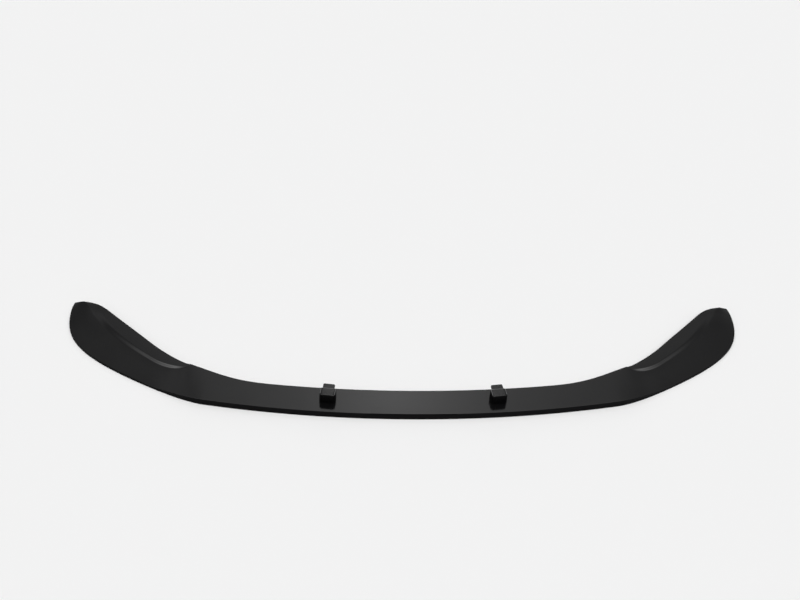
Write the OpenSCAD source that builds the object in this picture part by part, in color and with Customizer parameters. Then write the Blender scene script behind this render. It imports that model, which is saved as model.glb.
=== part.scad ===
// Front splitter lip for a car, one black plastic moulding.
// X runs across the car, the front edge faces -Y and the lip rests on Z = 0.
// The origin is at the middle of the footprint.

/* [Overall] */
// Width across the two end lobes
lip_w = 1610; // [1500:1:1700]
// Depth from the front edge in the middle to the tips
lip_d = 375; // [364:1:388]
// Front-to-rear width of the blade in the middle
blade_chord = 75; // [68:1:82]
// Thickness of the moulded skin
skin_t = 3.2; // [2.6:0.1:3.8]

/* [Front edge] */
// Height of the front edge, from its lower rim to the top face
edge_h = 14; // [12:0.5:16]
// Height of the edge round the end lobes
lobe_edge_h = 5; // [4.6:0.2:6]
// How far the lower rim stands forward of the top edge
rim_lean = 2; // [1:0.25:3]
// Height of the upright facet under the top edge
facet_h = 4.5; // [4:0.25:5.5]
// Rounding of the top edge
edge_r = 1; // [0.6:0.1:1.4]
// Width of the middle section, which has a wider rounding
centre_w = 188; // [150:1:220]
// Rounding of the top edge in the middle section
centre_r = 3; // [2:0.25:3.5]

/* [Outline] */
// Distance from the middle to the start of the bend in the front edge
bend_x = 462; // [450:1:475]
// How far the front edge has swept back there
bend_y = 42; // [38:0.5:46]
// Distance from the middle to the joint between bend and lobe
lobe_x = 609; // [598:1:622]
// How far the front edge has swept back there
lobe_y = 107; // [102:0.5:114]
// Distance from the widest point of the outline to the tip, front to rear
side_len = 28; // [22:1:40]
// How far the tip's outer corner lies inside the widest point
tip_inset = 3.5; // [1:0.5:5]
// Distance from the middle to where the rear edge starts to curve
waist_x = 320; // [300:1:340]
// How far the rear edge has swept back there
waist_y = 19.5; // [17:0.5:22]
// Distance from the middle to the kink in the rear edge
kink_x = 509; // [502:1:516]
// How far the kink lies behind the front edge
kink_y = 157.5; // [152:0.5:163]
// Length of the short level notch that ends at the kink
notch_len = 9; // [6:0.5:12]
// Width of the blunt tip
tip_w = 36; // [30:1:44]
// How far the inner end of the tip stays in front of its outer end
tip_back = 6.5; // [4:0.5:9]
// Height of the tip's rear edge
tip_h = 12; // [9:0.5:14]

/* [Pods] */
// Share of the blade that the raised pod takes at an end lobe
pod_share = 0.39; // [0.3:0.01:0.45]
// Height of the step from the pod down to the lobe
pod_step = 5; // [3:0.5:6]
// Width of the step's sloping face where the pod starts
step_w = 9; // [6:0.5:12]
// Width of the step's sloping face where it fades out near the tip
step_wide = 28; // [20:1:36]

/* [Hooks] */
// Distance from the middle to each hook
hook_x = 188; // [175:1:200]
// Distance from the front edge to the front of a hook's foot
hook_set = 28.5; // [25:0.5:34]
// Turn of a hook to face square to the front edge
hook_turn = 7.5; // [0:0.5:10]
// Width of a hook at its foot
hook_w = 36; // [32:1:38]
// Depth of a hook at its foot
hook_d = 25; // [22:0.5:27]
// Height of a hook above the blade
hook_h = 23; // [19:0.5:26]
// Draft of a hook's walls, in degrees
hook_draft = 1.5; // [0.5:0.25:3]
// Rounding of a hook's top edges
hook_crown = 2.5; // [1.5:0.25:3]
// How far the rounding reaches in from each side of the top
hook_shoulder = 4.5; // [2.5:0.25:5.5]
// Rounding of the two front corners
hook_r = 6.5; // [5:0.5:8]
// Rounding of the two rear corners
hook_rear_r = 3.5; // [3:0.25:4]
// Wall left round the hollow inside a hook
hook_wall = 3.4; // [3:0.1:4.2]
// Width of the tongue
tongue_w = 26; // [20:0.5:27]
// How far the tongue reaches behind the hook
tongue_len = 13.5; // [10:0.5:16]
// Thickness of the tongue
tongue_t = 4; // [3:0.25:5]
// Rounding of the tongue's two free corners
tongue_r = 3; // [2:0.25:4]
// Step from the hook's top down to the tongue
tongue_drop = 1.8; // [1:0.1:2.4]

/* [Hidden] */
lip_colour = [0.05, 0.05, 0.055];

half_w = lip_w / 2;
y_front = -lip_d / 2;
// Shares of the way from the middle to a tip at which the outline changes
s_bend = 0.5;
s_lobe = 0.66;
s_side = 0.92;
s_waist = 0.34;
s_notch = 0.545;
s_kink = 0.56;
s_step = 0.61;
s_pod = 0.68;
s_fade = 0.97;
s_fall = 0.86;
s_shoulder = 0.87;
// Directions of the edges at those places, in degrees
bend_dir = 10.5;
lobe_dir = 29.5;
kink_dir = 25;
notch_dir = 8;
pod_start_dir = 27;
pod_dir = 45;
tip_dir = 12;
side_end_dir = 105;
// Places on the pod's edge, measured from the kink and from the tip
pod_run = [93, 71.5];
shoulder_run = [-53.5, -33];
// Handles of the curves, as shares of the straight distance they span
even = [1 / 3, 1 / 3];
into_lobe = [0.25, 0.34];
round_lobe = [0.58, 0.3];
along_rear = [0.42, 0.4];
into_pod = [0.27, 0.3];
round_shoulder = [0.5, 0.3];
tip_x = half_w - tip_inset;
tip_in = [tip_x - tip_w, lip_d - tip_back];

// Number of sections from the middle to the bend, and on to the tip
n_middle = 22;
n_lobe = 44;
// Least share of the way between the centre's last section and the next one
section_gap = 0.004;
// Length over which the edge's rounding changes, and the angle of its facets
centre_blend = 4;
round_facet = 30;
// Share of the way to the tip in which the pod opens to its full share
pod_opening = 0.105;
// Share of the blade set aside where there is no pod
no_pod = 0.04;
// Largest share of the pod that its step may take
most_step = 0.9;
// Least height left under the facet, and between the facet and the rounding
rim_h = 1.2;
toe_h = 1;
// Thickness of the wall that closes each tip
tip_wall = 3;
wall_draft = 0.4;
// Facets of the hooks' roundings
corner_steps = 5;
crown_steps = 3;

function clamp01(t) = min(1, max(0, t));
function smooth(t) = let (u = clamp01(t)) u * u * (3 - 2 * u);
function ramp(s, a, b) = smooth((s - a) / (b - a));
function heading(a) = [cos(a), sin(a)];

// Point on a cubic curve from p to q that leaves and arrives in set directions
function bend(p, dir_p, q, dir_q, t, handles = even) =
    let (span = norm(q - p),
         a = p + handles[0] * span * heading(dir_p),
         b = q - handles[1] * span * heading(dir_q),
         u = 1 - t)
    u * u * u * p + 3 * u * u * t * a + 3 * u * t * t * b + t * t * t * q;

// Front and outer edge in plan, from the middle (s = 0) to the tip (s = 1)
front_mid = [0, 0];
front_bend = [bend_x, bend_y];
front_lobe = [lobe_x, lobe_y];
front_side = [half_w, lip_d - side_len];
front_tip = [tip_x, lip_d];
function front_edge(s) =
    s < s_bend ? bend(front_mid, 0, front_bend, bend_dir, s / s_bend)
    : s < s_lobe ? bend(front_bend, bend_dir, front_lobe, lobe_dir,
                        (s - s_bend) / (s_lobe - s_bend), into_lobe)
    : s < s_side ? bend(front_lobe, lobe_dir, front_side, 90,
                        (s - s_lobe) / (s_side - s_lobe), round_lobe)
    : bend(front_side, 90, front_tip, side_end_dir,
           (s - s_side) / (1 - s_side));

// Rear and inner edge in plan
rear_mid = [0, blade_chord];
rear_waist = [waist_x, blade_chord + waist_y];
rear_kink = [kink_x, kink_y];
rear_notch = rear_kink - notch_len * heading(notch_dir);
rear_pod = rear_kink + pod_run;
rear_shoulder = tip_in + shoulder_run;
waist_dir = atan(2 * waist_y / waist_x);
function rear_edge(s) =
    s < s_waist ? bend(rear_mid, 0, rear_waist, waist_dir, s / s_waist)
    : s < s_notch ? bend(rear_waist, waist_dir, rear_notch, kink_dir,
                         (s - s_waist) / (s_notch - s_waist), along_rear)
    : s < s_kink ? bend(rear_notch, notch_dir, rear_kink, notch_dir,
                        (s - s_notch) / (s_kink - s_notch))
    : s < s_pod ? bend(rear_kink, pod_start_dir, rear_pod, pod_dir,
                       (s - s_kink) / (s_pod - s_kink), into_pod)
    : s < s_shoulder ? bend(rear_pod, pod_dir, rear_shoulder, pod_dir,
                            (s - s_pod) / (s_shoulder - s_pod))
    : bend(rear_shoulder, pod_dir, tip_in, tip_dir,
           (s - s_shoulder) / (1 - s_shoulder), round_shoulder);

// Heights and shares that change along the lip
function edge_z(s) = edge_h - (edge_h - lobe_edge_h) * ramp(s, s_bend, s_lobe);
function rear_z(s) = edge_h - (edge_h - tip_h) * ramp(s, s_fall, 1);
function step_z(s) = pod_step * ramp(s, s_notch, s_step) * (1 - ramp(s, s_step, s_fade));
function step_run(s) = step_w + (step_wide - step_w) * ramp(s, s_step, s_fade);
function pod_part(s) =
    let (left = 1 - clamp01((s - s_notch) / pod_opening))
    no_pod + (pod_share - no_pod) * (1 - left * left);
function round_r(x) = edge_r + (centre_r - edge_r)
    * (1 - smooth((x - centre_w / 2) / centre_blend));

// One section as a closed loop of [distance behind the front edge, height].
// A closed section has its underside on the ground, for the wall at a tip.
top_steps = 4;
under_steps = 5;
function section(s, closed) =
    let (f = front_edge(s), chord = norm(rear_edge(s) - f),
         ze = edge_z(s), zr = rear_z(s), dz = step_z(s),
         r = min(round_r(f[0]), ze - toe_h - rim_h),
         low = min(facet_h, ze - rim_h),
         lean = rim_lean * ze / edge_h,
         flat = chord - edge_r,
         d_step = flat * (1 - pod_part(s)),
         w = min(step_run(s), flat * pod_part(s) * most_step),
         zf = zr - dz,
         top = function (d) d >= d_step + w ? zr
             : d > d_step ? zf + dz * smooth((d - d_step) / w)
             : ze + (zf - ze) * clamp01((d - lean - r) / (d_step - lean - r)),
         d_in = lean + skin_t,
         under = function (d) closed ? 0 : top(d) - skin_t)
    concat(
        [[chord, zr - edge_r], [flat, zr]],
        [for (i = [top_steps:-1:0]) let (d = d_step + w * i / top_steps) [d, top(d)]],
        [for (i = [2:-1:1]) let (d = lean + r + (d_step - lean - r) * i / 3) [d, top(d)]],
        [for (a = [0:round_facet:90]) [lean + r * (1 - sin(a)), ze - r * (1 - cos(a))]],
        [[lean, ze - low], [0, 0], [d_in, 0]],
        [[d_in + wall_draft, closed ? 0 : ze - skin_t]],
        [for (i = [1:under_steps - 1])
            let (d = d_in + wall_draft + (d_step - d_in - wall_draft) * i / under_steps)
            [d, under(d)]],
        [for (i = [0:top_steps]) let (d = d_step + w * i / top_steps) [d, under(d)]],
        [[chord, under(chord)]]
    );

// Places one section in the lip's frame, on the side given by the sign
function placed(s, closed, sign) =
    let (f = front_edge(s), dir = (rear_edge(s) - f) / norm(rear_edge(s) - f))
    [for (p = section(s, closed))
        [sign * (f[0] + dir[0] * p[0]), y_front + f[1] + dir[1] * p[0], p[1]]];

s_centre = centre_w / 2 / bend_x * s_bend;
s_blend = (centre_w / 2 + centre_blend) / bend_x * s_bend;
// A length near the tip as a share of the way to it
function tip_share(length) = 1 - length / side_len * (1 - s_side);
half_run = concat(
    [for (i = [1:n_middle]) let (s = s_bend * i / n_middle)
        if (s < s_centre - section_gap || s > s_blend + section_gap) [s, false]],
    [for (i = [0:2]) [s_centre + (s_blend - s_centre) * i / 2, false]],
    [for (i = [1:n_lobe - 1]) let (s = s_bend + (1 - s_bend) * i / n_lobe)
        if (s < tip_share(2 * tip_wall)) [s, false]],
    [[tip_share(tip_wall + wall_draft), false], [tip_share(tip_wall), true], [1, true]]
);
function sorted(v) = len(v) <= 1 ? v
    : let (m = v[floor(len(v) / 2)][0])
      concat(sorted([for (q = v) if (q[0] < m) q]),
             [for (q = v) if (q[0] == m) q],
             sorted([for (q = v) if (q[0] > m) q]));
run = sorted(half_run);

// Solid skinned over a row of loops that all have the same number of points
module loft(loops) {
    n = len(loops[0]);
    m = len(loops);
    skin = [for (j = [0:m - 2], i = [0:n - 1])
        let (k = (i + 1) % n)
        each [[j * n + i, (j + 1) * n + i, (j + 1) * n + k],
              [j * n + i, (j + 1) * n + k, j * n + k]]];
    ends = [[for (i = [0:n - 1]) i],
            [for (i = [n - 1:-1:0]) (m - 1) * n + i]];
    polyhedron([for (l = loops) each l], concat(skin, ends), convexity = 6);
}

module blade() {
    last = len(run) - 1;
    loops = concat(
        [for (i = [last:-1:0]) placed(run[i][0], run[i][1], -1)],
        [placed(0, false, 1)],
        [for (i = [0:last]) placed(run[i][0], run[i][1], 1)]);
    loft(loops);
}

// Outline of a block whose rear side lies on y = -back, with its rear and its
// front corners rounded by radii[0] and radii[1]
function block_loop(w, d, radii, z, back) =
    [for (c = [[1, 0], [-1, 0], [-1, 1], [1, 1]], i = [0:corner_steps])
        let (r = radii[c[1]], a = (c[0] > 0 ? 3 * c[1] : 1 + c[1]) * 90 + 90 * i / corner_steps,
             y = c[1] == 0 ? -r : r - d)
        [c[0] * (w / 2 - r) + r * cos(a), y - back + r * sin(a), z]];

// Upright block with drafted walls and rounded top edges. Its rear wall stands
// plumb up to the rounding, so that an edge can lie against it.
module crowned_block(w, d, radii, h, crown, shoulder) {
    loft(concat(
        [block_loop(w, d, radii, 0, 0)],
        [for (i = [0:crown_steps])
            let (a = 90 * i / crown_steps, z = h - crown + crown * sin(a),
                 draft = z * tan(hook_draft), ease = 1 - cos(a))
            block_loop(w - 2 * draft - 2 * shoulder * ease, d - draft - 2 * crown * ease,
                       [for (r = radii) r - crown * ease], z, crown * ease)]));
}

// Flat tongue that reaches back over the edge it holds
module tongue() {
    linear_extrude(tongue_t) offset(tongue_r, $fn = 4 * corner_steps)
        translate([tongue_r - tongue_w / 2, -hook_d / 2])
            square([tongue_w - 2 * tongue_r, hook_d / 2 + tongue_len - tongue_r]);
}

// Moves a hook's shapes to their place, with the foot of its rear wall at the origin
module at_hook(side) {
    rear = front_edge(s_bend * hook_x / bend_x)[1] + hook_set + hook_d;
    translate([side * hook_x, y_front + rear, edge_h])
        rotate(side * hook_turn) children();
}

module hook_body() {
    sunk = skin_t / 2;
    translate([0, 0, -sunk])
        crowned_block(hook_w, hook_d, [hook_rear_r, hook_r], hook_h + sunk,
                      hook_crown, hook_shoulder);
    translate([0, 0, hook_h - tongue_drop - tongue_t]) tongue();
}

module hook_hollow() {
    below = 2 * skin_t;
    translate([0, -hook_wall, -below])
        crowned_block(hook_w - 2 * hook_wall, hook_d - 2 * hook_wall,
                      [hook_rear_r, hook_r] / 2, hook_h - hook_wall + below,
                      hook_crown / 2, hook_crown / 2);
}

module lip() {
    color(lip_colour) difference() {
        union() {
            blade();
            for (side = [-1, 1]) at_hook(side) hook_body();
        }
        for (side = [-1, 1]) at_hook(side) hook_hollow();
    }
}

lip();
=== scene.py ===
# %% [markdown]
# Front splitter lip, a glossy black plastic moulding about 1.6 m wide.
# This lesson dresses one moulded part: a smooth copy of its shell with rounded
# edges, plastic finishes that look moulded and not painted, and a soft studio.

# %% Load the part
import math
import bmesh
import bpy
from mathutils import Matrix, Vector


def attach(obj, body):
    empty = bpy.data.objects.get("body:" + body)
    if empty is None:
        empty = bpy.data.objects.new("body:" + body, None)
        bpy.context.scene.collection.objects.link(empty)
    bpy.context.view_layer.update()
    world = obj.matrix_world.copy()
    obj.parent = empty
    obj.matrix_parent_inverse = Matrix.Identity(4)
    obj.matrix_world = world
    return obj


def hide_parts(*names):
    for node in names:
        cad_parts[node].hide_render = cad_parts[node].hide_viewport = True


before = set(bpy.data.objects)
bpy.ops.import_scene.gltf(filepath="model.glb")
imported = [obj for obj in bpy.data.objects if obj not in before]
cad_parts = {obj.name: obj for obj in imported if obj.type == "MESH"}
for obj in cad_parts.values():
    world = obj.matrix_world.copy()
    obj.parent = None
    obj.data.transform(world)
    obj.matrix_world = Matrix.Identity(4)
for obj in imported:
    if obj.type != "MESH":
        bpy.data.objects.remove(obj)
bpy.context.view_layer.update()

# %% [markdown]
# The camera stands in front of the lip and a little to its left, at the height
# of a person leaning over a table. It is rolled a few degrees, because the
# picture it matches was turned until the lip lay level. The lens follows from
# how fast the lip shrinks towards its far ends.

# %% Camera values
MM = 0.001
CAMERA_AT = Vector((-0.1752, -1.8059, 1.7367))
CAMERA_PAN = math.radians(4.53)
CAMERA_TILT = math.radians(40.60)
CAMERA_ROLL = math.radians(3.52)
PICTURE_W = 800
FOCAL_PX = 1078.4
SENSOR_W = 36.0
print("camera height in mm", round(CAMERA_AT.z / MM))


# %% Camera
def make_camera():
    data = bpy.data.cameras.new("camera")
    data.sensor_width = SENSOR_W
    data.lens = FOCAL_PX * SENSOR_W / PICTURE_W
    camera = bpy.data.objects.new("camera", data)
    bpy.context.scene.collection.objects.link(camera)
    turn = Matrix.Rotation(-CAMERA_PAN, 4, "Z")
    lean = Matrix.Rotation(math.pi / 2 - CAMERA_TILT, 4, "X")
    roll = Matrix.Rotation(CAMERA_ROLL, 4, "Z")
    camera.matrix_world = Matrix.Translation(CAMERA_AT) @ turn @ lean @ roll
    bpy.context.scene.camera = camera
    return camera


camera = make_camera()
print("lens in mm", round(camera.data.lens, 2))

# %% [markdown]
# Shared effects are node groups, built once. Each has named inputs, so every
# finish can use it with its own values. A group gives out only values that
# change over the surface, and the shader itself stays in the material.


# %% Helper for node groups
def new_group(name, inputs, outputs):
    group = bpy.data.node_groups.new(name, "ShaderNodeTree")
    for label, kind, value in inputs:
        socket = group.interface.new_socket(label, in_out="INPUT", socket_type=kind)
        socket.default_value = value
    for label, kind in outputs:
        group.interface.new_socket(label, in_out="OUTPUT", socket_type=kind)
    start = group.nodes.new("NodeGroupInput")
    end = group.nodes.new("NodeGroupOutput")
    return group, start, end


# %% [markdown]
# Most of the work inside a tree is sums on values. This helper adds one Math
# node and takes numbers and links alike, so a formula reads as one line.


# %% Helper for sums in a tree
def math_node(tree, operation, a, b):
    node = tree.nodes.new("ShaderNodeMath")
    node.operation = operation
    for slot, value in ((0, a), (1, b)):
        if isinstance(value, (int, float)):
            node.inputs[slot].default_value = value
        else:
            tree.links.new(value, node.inputs[slot])
    return node.outputs[0]


# %% [markdown]
# Waves, grain, dust and hairlines are all irregular, so each starts from noise.
# Only its scale and its roughness differ.


# %% Helper for noise
def noise_node(tree, vector, scale, detail=2.0, roughness=0.5):
    node = tree.nodes.new("ShaderNodeTexNoise")
    node.inputs["Scale"].default_value = scale
    node.inputs["Detail"].default_value = detail
    node.inputs["Roughness"].default_value = roughness
    tree.links.new(vector, node.inputs["Vector"])
    return node.outputs["Fac"]


# %% [markdown]
# Moulded plastic is never a perfect mirror. Its surface follows the steel of the
# mould, which leaves a faint waviness a few centimetres across and a much finer
# grain. The group gives the two out as one height. It gives the waves out alone
# as well, because the plastic's gloss and colour follow the same flow.

# %% Group for the moulded surface
WAVE_SCALE = 18.0
GRAIN_SCALE = 900.0
GRAIN_AMOUNT = 0.15
GRAIN_DETAIL = 3.0


def moulded_surface_group():
    group, start, end = new_group(
        "moulded_surface",
        [("Vector", "NodeSocketVector", (0, 0, 0)),
         ("Wave Scale", "NodeSocketFloat", WAVE_SCALE),
         ("Grain Scale", "NodeSocketFloat", GRAIN_SCALE),
         ("Grain Amount", "NodeSocketFloat", GRAIN_AMOUNT)],
        [("Height", "NodeSocketFloat"), ("Flow", "NodeSocketFloat")])
    waves = noise_node(group, start.outputs["Vector"], WAVE_SCALE)
    grain = noise_node(group, start.outputs["Vector"], GRAIN_SCALE, GRAIN_DETAIL)
    group.links.new(start.outputs["Wave Scale"], waves.node.inputs["Scale"])
    group.links.new(start.outputs["Grain Scale"], grain.node.inputs["Scale"])
    fine = math_node(group, "MULTIPLY", grain, start.outputs["Grain Amount"])
    height = math_node(group, "ADD", waves, fine)
    group.links.new(height, end.inputs["Height"])
    group.links.new(waves, end.inputs["Flow"])
    return group


surface_group = moulded_surface_group()
print("group", surface_group.name, "sockets", len(surface_group.interface.items_tree))

# %% [markdown]
# A part out of its box carries a little dust and a few rubbed hairlines. They
# show only as small changes of gloss, so this group puts out one mask. Dust is
# noise cut off at a high level. A hairline is the same with the noise stretched
# until its spots become long thin strokes.

# %% Values for handling marks
DUST_SCALE = 420.0
DUST_DETAIL = 4.0
DUST_ROUGHNESS = 0.7
DUST_ABOVE = 0.70
HAIRLINE_STRETCH = (6.0, 260.0, 60.0)
HAIRLINE_TURN = (0.0, 0.0, 0.18)
HAIRLINE_ABOVE = 0.72
MARKS_AMOUNT = 0.5
print("dust specks about", round(1 / DUST_SCALE / MM, 1), "mm")


# %% Group for handling marks
def handling_group():
    group, start, end = new_group(
        "handling_marks",
        [("Vector", "NodeSocketVector", (0, 0, 0)),
         ("Dust Scale", "NodeSocketFloat", DUST_SCALE),
         ("Amount", "NodeSocketFloat", MARKS_AMOUNT)],
        [("Mask", "NodeSocketFloat")])
    specks = noise_node(group, start.outputs["Vector"], DUST_SCALE,
                        DUST_DETAIL, DUST_ROUGHNESS)
    group.links.new(start.outputs["Dust Scale"], specks.node.inputs["Scale"])
    stretch = group.nodes.new("ShaderNodeMapping")
    stretch.inputs["Scale"].default_value = HAIRLINE_STRETCH
    stretch.inputs["Rotation"].default_value = HAIRLINE_TURN
    group.links.new(start.outputs["Vector"], stretch.inputs["Vector"])
    hairlines = noise_node(group, stretch.outputs["Vector"], 1.0)
    speck_mask = math_node(group, "GREATER_THAN", specks, DUST_ABOVE)
    line_mask = math_node(group, "GREATER_THAN", hairlines, HAIRLINE_ABOVE)
    both = math_node(group, "MAXIMUM", speck_mask, line_mask)
    mask = math_node(group, "MULTIPLY", both, start.outputs["Amount"])
    group.links.new(mask, end.inputs["Mask"])
    return group


marks_group = handling_group()
print("group", marks_group.name, "sockets", len(marks_group.interface.items_tree))

# %% [markdown]
# The lip is one black plastic. Its colour is almost black, so nearly all that
# the eye sees is reflection. The gloss varies a little with the flow of the
# plastic, and the dust makes it duller in small spots.

# %% Values for black plastic
BLACK = (0.0028, 0.0028, 0.0031, 1.0)
BLACK_FLOW = (0.0045, 0.0044, 0.0048, 1.0)
FLOW_DULLS = 0.05
DUST_DULLS = 0.12
BUMP_DEPTH = 0.2 * MM
PLASTIC_IOR = 1.5
print("black in linear light", BLACK[:3])


# %% Helper for placing a group
def group_node(tree, group, vector, values):
    node = tree.nodes.new("ShaderNodeGroup")
    node.node_tree = group
    tree.links.new(vector, node.inputs["Vector"])
    for label, value in values.items():
        node.inputs[label].default_value = value
    return node


# %% [markdown]
# The tone runs between two blacks with the flow of the plastic. The two are so
# close that the change hardly shows by itself.


# %% Tone of the plastic
def link_tone(tree, shader, surface, tones):
    mix = tree.nodes.new("ShaderNodeMix")
    mix.data_type = "RGBA"
    dark, light = [socket for socket in mix.inputs if socket.type == "RGBA"]
    dark.default_value, light.default_value = tones
    blended = next(socket for socket in mix.outputs if socket.type == "RGBA")
    tree.links.new(surface.outputs["Flow"], mix.inputs[0])
    tree.links.new(blended, shader.inputs["Base Color"])


# %% [markdown]
# Roughness is the finish's own value, raised a little by the flow and by dust.


# %% Gloss of the plastic
def link_gloss(tree, shader, surface, marks, roughness):
    duller = math_node(tree, "MULTIPLY", marks.outputs["Mask"], DUST_DULLS)
    flow = math_node(tree, "MULTIPLY", surface.outputs["Flow"], FLOW_DULLS)
    rough = math_node(tree, "ADD", math_node(tree, "ADD", flow, roughness), duller)
    tree.links.new(rough, shader.inputs["Roughness"])


# %% [markdown]
# The waves and the grain are too shallow for geometry, a fifth of a millimetre
# at most, so they only tilt the shading through a bump.


# %% Bump of the plastic
def link_bump(tree, shader, surface, strength):
    bump = tree.nodes.new("ShaderNodeBump")
    bump.inputs["Strength"].default_value = strength
    bump.inputs["Distance"].default_value = BUMP_DEPTH
    tree.links.new(surface.outputs["Height"], bump.inputs["Height"])
    tree.links.new(bump.outputs["Normal"], shader.inputs["Normal"])


# %% [markdown]
# One function makes every finish of the lip, because they are the same plastic
# and differ only in their skin: how rough it is, how much it mirrors, how coarse
# its grain is, and how black it is.


# %% Black plastic
def black_plastic(name, roughness, shine, grain, bump_strength,
                  tones=(BLACK, BLACK_FLOW)):
    material = bpy.data.materials.new(name)
    material.use_nodes = True
    tree = material.node_tree
    shader = tree.nodes["Principled BSDF"]
    place = tree.nodes.new("ShaderNodeTexCoord").outputs["Object"]
    surface = group_node(tree, surface_group, place, grain)
    marks = group_node(tree, marks_group, place, {})
    link_tone(tree, shader, surface, tones)
    link_gloss(tree, shader, surface, marks, roughness)
    link_bump(tree, shader, surface, bump_strength)
    shader.inputs["IOR"].default_value = PLASTIC_IOR
    shader.inputs["Specular IOR Level"].default_value = shine
    return material


# %% [markdown]
# The face that shows from above is polished in the mould. It mirrors the studio
# almost sharply, and its waves only bend the reflections a little.

# %% Polished top
polished = black_plastic("gloss_black", roughness=0.12, shine=0.5, grain={},
                         bump_strength=0.25)
print("material", polished.name)

# %% [markdown]
# The upright front band, the walls of the hooks and the underside come off plain
# steel with a fine grain. They mirror less than the blade, so the front edge
# draws a dark line along the whole lip.

# %% Grained sides
grained = black_plastic("grained_black", roughness=0.42, shine=0.05,
                        grain={"Grain Scale": 1400.0, "Grain Amount": 0.6},
                        bump_strength=0.35)
print("material", grained.name)

# %% [markdown]
# The tops of the hooks and their tongues look slightly mottled. A mould is often
# left as it was eroded where the part is out of sight once it is fitted. Such a
# coarse grain breaks the mirror image into small light and dark flecks.

# %% Etched tops of the hooks
etched = black_plastic("etched_black", roughness=0.16, shine=0.44,
                       grain={"Grain Scale": 230.0, "Grain Amount": 2.4},
                       bump_strength=0.9)
print("material", etched.name)

# %% [markdown]
# The rounded rim of each hook's top gets a grey colour, a painted highlight: the
# thin pale line round the top stands in for the light that the rim catches.

# %% Painted highlight on the rims of the hooks
# This grey is a painted highlight for the light caught on the hooks' rims.
RIM_HIGHLIGHT_GREY = (0.085, 0.085, 0.087, 1.0)
RIM_HIGHLIGHT_GREY_FLOW = (0.150, 0.150, 0.152, 1.0)
painted_rim_highlight = black_plastic("painted_rim_highlight_black", roughness=0.16, shine=0.5,
                       grain={"Grain Scale": 230.0, "Grain Amount": 1.0},
                       bump_strength=0.5, tones=(RIM_HIGHLIGHT_GREY, RIM_HIGHLIGHT_GREY_FLOW))
print("material", painted_rim_highlight.name)

# %% [markdown]
# A moulded edge is never sharp and catches a thin highlight. The blade and the
# hooks' bodies have their roundings already, so only the free edges of the two
# tongues are left to round. They are the edges above the tongue's underside
# where the skin turns outwards by more than two thirds of a right angle.

# %% Free edges of the tongues
EDGE_ROUND = 0.8 * MM
TONGUE_LOW = 31.0 * MM
FREE_EDGE = math.radians(60)


def is_tongue_edge(edge):
    if len(edge.link_faces) != 2 or min(v.co.z for v in edge.verts) < TONGUE_LOW:
        return False
    return edge.calc_face_angle_signed(0.0) > FREE_EDGE


print("tongue edges lie above", TONGUE_LOW / MM, "mm")

# %% [markdown]
# Which finish a face takes follows from where it is and which way it looks. Low
# down, steep faces and the thin rims of the end lobes are grained, and the rest
# is polished. On the hooks, shoulders and walls are grained, the tops are etched,
# and the rims that slope backwards or sideways get the grey painted highlight.

# %% Finish of each face
FINISHES = (polished, grained, etched, painted_rim_highlight)
UPRIGHT_BELOW = 0.72
LOBE_RIM = 4.97 * MM
SHOULDER_BELOW = 0.80
RIM_BELOW = 0.985
RIM_FRONT = -0.15


def finish_of(face):
    level = face.normal.z
    height = face.calc_center_median().z
    if height < TONGUE_LOW:
        dull = level < UPRIGHT_BELOW or height < LOBE_RIM
        return grained if dull else polished
    if level < SHOULDER_BELOW:
        return grained
    # Rims that slope backwards or sideways take the grey painted-highlight finish.
    on_rim = level < RIM_BELOW and face.normal.y > RIM_FRONT
    return painted_rim_highlight if on_rim else etched


print("finishes", [finish.name for finish in FINISHES])

# %% [markdown]
# The part arrives as loose triangles, so a copy of them is merged into one skin
# first, and the tongues' edges are rounded. Then the shading is made smooth. Only
# edges that turn by more than a third of a right angle stay crisp, and weighted
# normals let a large flat face keep its own direction beside a small rounding.

# %% Skin of the shell
MERGE_WITHIN = 0.01 * MM
CRISP = math.radians(33)


def dress_skin(work):
    bmesh.ops.remove_doubles(work, verts=work.verts[:], dist=MERGE_WITHIN)
    free_edges = [edge for edge in work.edges if is_tongue_edge(edge)]
    bmesh.ops.bevel(work, geom=free_edges, affect="EDGES", offset=EDGE_ROUND,
                    segments=2, profile=0.5, material=-1, clamp_overlap=True)
    for face in work.faces:
        face.smooth = True
        face.material_index = FINISHES.index(finish_of(face))
    for edge in work.edges:
        edge.smooth = edge.calc_face_angle(0.0) < CRISP
    print("rounded edges", len(free_edges))


# %% [markdown]
# The shell is a new piece beside the part, because the part itself stays as it
# is. The finishes go onto the mesh before the skin is written to it, so that each
# face finds its own. The shell then stands for the part and rides where it rides.


# %% Smooth shell
def smooth_shell(source, name):
    mesh = source.data.copy()
    mesh.materials.clear()
    for finish in FINISHES:
        mesh.materials.append(finish)
    work = bmesh.new()
    work.from_mesh(mesh)
    dress_skin(work)
    work.to_mesh(mesh)
    work.free()
    piece = bpy.data.objects.new(name, mesh)
    bpy.context.scene.collection.objects.link(piece)
    flatten = piece.modifiers.new("flat_faces_first", "WEIGHTED_NORMAL")
    flatten.mode = "FACE_AREA"
    flatten.keep_sharp = True
    return piece


shell = smooth_shell(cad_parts["lip"], "lip_shell")
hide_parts("lip")
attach(shell, "root")
print(shell.name, "faces", len(shell.data.polygons))

# %% [markdown]
# The floor is one large pale sheet. It fills the whole picture, because the
# camera looks down on it, and it keeps the lip's soft shadow.

# %% Floor
FLOOR_HALF = 40.0
FLOOR_TONE = (0.94, 0.94, 0.94, 1.0)
FLOOR_ROUGHNESS = 0.9


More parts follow.
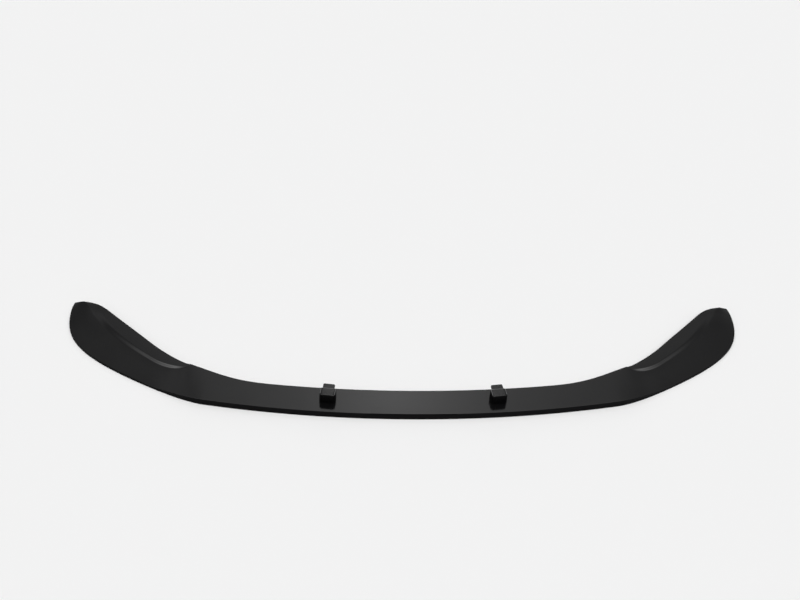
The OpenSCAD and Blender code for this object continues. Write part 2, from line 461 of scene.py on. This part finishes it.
def pale_floor():
    work = bmesh.new()
    bmesh.ops.create_grid(work, x_segments=1, y_segments=1, size=FLOOR_HALF)
    mesh = bpy.data.meshes.new("floor")
    work.to_mesh(mesh)
    work.free()
    floor = bpy.data.objects.new("floor", mesh)
    bpy.context.scene.collection.objects.link(floor)
    material = bpy.data.materials.new("pale_floor")
    material.use_nodes = True
    shader = material.node_tree.nodes["Principled BSDF"]
    shader.inputs["Base Color"].default_value = FLOOR_TONE
    shader.inputs["Roughness"].default_value = FLOOR_ROUGHNESS
    shader.inputs["Specular IOR Level"].default_value = 0.0
    mesh.materials.append(material)
    return floor


floor = pale_floor()
print("floor", floor.name)

# %% [markdown]
# Gloss black shows its surroundings and little else, so the studio is drawn as
# a soft sky and not as lamps with hard edges. In the sky a light is a bell: full
# strength along one direction, falling off smoothly round it. The direction is a
# unit vector, with x to the right, y to the back and z up.


# %% Helpers for the sky
def bell(tree, value, centre, width, level):
    away = math_node(tree, "SUBTRACT", value, centre)
    share = math_node(tree, "DIVIDE", away, width)
    square = math_node(tree, "MULTIPLY", share, share)
    fall = math_node(tree, "MULTIPLY", square, -1.0)
    curve = math_node(tree, "EXPONENT", fall, 0.0)
    return math_node(tree, "MULTIPLY", curve, level)


def rise(tree, value, low, high):
    node = tree.nodes.new("ShaderNodeMapRange")
    node.interpolation_type = "SMOOTHSTEP"
    node.inputs["From Min"].default_value = low
    node.inputs["From Max"].default_value = high
    tree.links.new(value, node.inputs["Value"])
    return node.outputs["Result"]


def product(tree, a, b):
    return math_node(tree, "MULTIPLY", a, b)


def total(tree, first, *others):
    for other in others:
        first = math_node(tree, "ADD", first, other)
    return first


# %% [markdown]
# The blade mirrors the sky behind the lip, at about half height. A glow there
# gives the long sheen that is brightest near the middle of the blade and fades
# towards both ends. It is two bells, a broad one and a narrow one on top of it.

# %% Glow behind the lip
GLOW_X = 0.055
BROAD_WIDTH = 0.20
BROAD_LEVEL = 0.86
NARROW_WIDTH = 0.05
NARROW_LEVEL = 0.84
GLOW_HEIGHT = 0.64
GLOW_REACH = 0.32


def glow(tree, x, z):
    broad = bell(tree, x, GLOW_X, BROAD_WIDTH, BROAD_LEVEL)
    narrow = bell(tree, x, GLOW_X, NARROW_WIDTH, NARROW_LEVEL)
    return product(tree, total(tree, broad, narrow),
                   bell(tree, z, GLOW_HEIGHT, GLOW_REACH, 1.0))


print("glow level", BROAD_LEVEL + NARROW_LEVEL)

# %% [markdown]
# Just past each kink the lobe leans outwards and mirrors the sky beside the glow.
# Two dim panels there carry the sheen over those places.

# %% Side panels
LEFT_PANEL_X = -0.295
LEFT_PANEL_WIDTH = 0.07
LEFT_PANEL_LEVEL = 0.33
RIGHT_PANEL_X = 0.40
RIGHT_PANEL_WIDTH = 0.10
RIGHT_PANEL_LEVEL = 0.165
PANEL_Y = 0.68
PANEL_REACH = 0.045


def side_panels(tree, x, y):
    left = bell(tree, x, LEFT_PANEL_X, LEFT_PANEL_WIDTH, LEFT_PANEL_LEVEL)
    right = bell(tree, x, RIGHT_PANEL_X, RIGHT_PANEL_WIDTH, RIGHT_PANEL_LEVEL)
    return product(tree, total(tree, left, right),
                   bell(tree, y, PANEL_Y, PANEL_REACH, 1.0))


print("panel levels", LEFT_PANEL_LEVEL, RIGHT_PANEL_LEVEL)

# %% [markdown]
# A low wall of light behind the lip draws the thin highlights on the rear edges,
# and it helps to light the floor.

# %% Low wall
WALL_WIDTH = 0.55
WALL_HEIGHT = 0.26
WALL_REACH = 0.16
WALL_LEVEL = 1.0


def low_wall(tree, x, z):
    return product(tree, bell(tree, x, GLOW_X, WALL_WIDTH, WALL_LEVEL),
                   bell(tree, z, WALL_HEIGHT, WALL_REACH, 1.0))


print("wall level", WALL_LEVEL)

# %% [markdown]
# A wide lamp overhead lights the floor. The blade doesn't mirror it when it is
# seen from in front or behind, so the plastic stays black. Two round lamps, high
# at the left and the right, draw the bright lines along the pods.

# %% Lamps overhead
TOP_Y = -0.05
TOP_SPREAD = 0.36
TOP_LEVEL = 2.4
LAMP_X = 0.45
LAMP_Y = -0.18
LAMP_SPREAD = 0.30
LAMP_LEVEL = 1.9


def lamps_overhead(tree, x, y):
    aside = math_node(tree, "ABSOLUTE", x, 0.0)
    lamps = product(tree, bell(tree, aside, LAMP_X, LAMP_SPREAD, LAMP_LEVEL),
                    bell(tree, y, LAMP_Y, LAMP_SPREAD, 1.0))
    top = product(tree, bell(tree, x, 0.0, TOP_SPREAD, TOP_LEVEL),
                  bell(tree, y, TOP_Y, TOP_SPREAD, 1.0))
    return total(tree, lamps, top)


print("lamp levels", LAMP_LEVEL, TOP_LEVEL)

# %% [markdown]
# The lines along the pods would end suddenly where the ridges turn away from the
# lamps. A faint band from side to side lets them fade towards the tips.

# %% Faint band
FADE_FROM = 0.22
FADE_FULL = 0.45
FADE_FOOT = 0.20
FADE_HEAD = 0.50
FADE_Y = 0.10
FADE_WIDTH = 0.35
FADE_LEVEL = 0.30


def faint_band(tree, x, y, z):
    aside = math_node(tree, "ABSOLUTE", x, 0.0)
    band = product(tree, bell(tree, y, FADE_Y, FADE_WIDTH, FADE_LEVEL),
                   rise(tree, aside, FADE_FROM, FADE_FULL))
    return product(tree, band, rise(tree, z, FADE_FOOT, FADE_HEAD))


print("band level", FADE_LEVEL)

# %% [markdown]
# The sky is the sum of these lights over a dim base. The glow, the panels and the
# wall stand behind the lip only. Where the camera looks past the floor it sees
# one plain level, close to the floor's own tone.

# %% World
BASE_LEVEL = 0.14
SEEN_LEVEL = 0.88


def sky_level(tree):
    place = tree.nodes.new("ShaderNodeTexCoord")
    split = tree.nodes.new("ShaderNodeSeparateXYZ")
    tree.links.new(place.outputs["Generated"], split.inputs[0])
    x, y, z = split.outputs
    behind = total(tree, glow(tree, x, z), side_panels(tree, x, y),
                   low_wall(tree, x, z))
    behind = product(tree, behind, math_node(tree, "GREATER_THAN", y, 0.0))
    overhead = total(tree, lamps_overhead(tree, x, y), faint_band(tree, x, y, z))
    return total(tree, behind, overhead, BASE_LEVEL)


def soft_sky():
    world = bpy.data.worlds.new("world")
    bpy.context.scene.world = world
    world.use_nodes = True
    tree = world.node_tree
    background = tree.nodes["Background"]
    seen = tree.nodes.new("ShaderNodeLightPath").outputs["Is Camera Ray"]
    strength = tree.nodes.new("ShaderNodeMix")
    tree.links.new(seen, strength.inputs["Factor"])
    tree.links.new(sky_level(tree), strength.inputs["A"])
    strength.inputs["B"].default_value = SEEN_LEVEL
    tree.links.new(strength.outputs["Result"], background.inputs["Strength"])
    background.inputs["Color"].default_value = (1.0, 1.0, 1.0, 1.0)
    return world


world = soft_sky()
print("world", world.name, "nodes", len(world.node_tree.nodes))

# %% [markdown]
# The picture is kept plain: the Standard view, so that a colour renders as it
# is written.

# %% Finish
bpy.context.scene.view_settings.view_transform = "Standard"
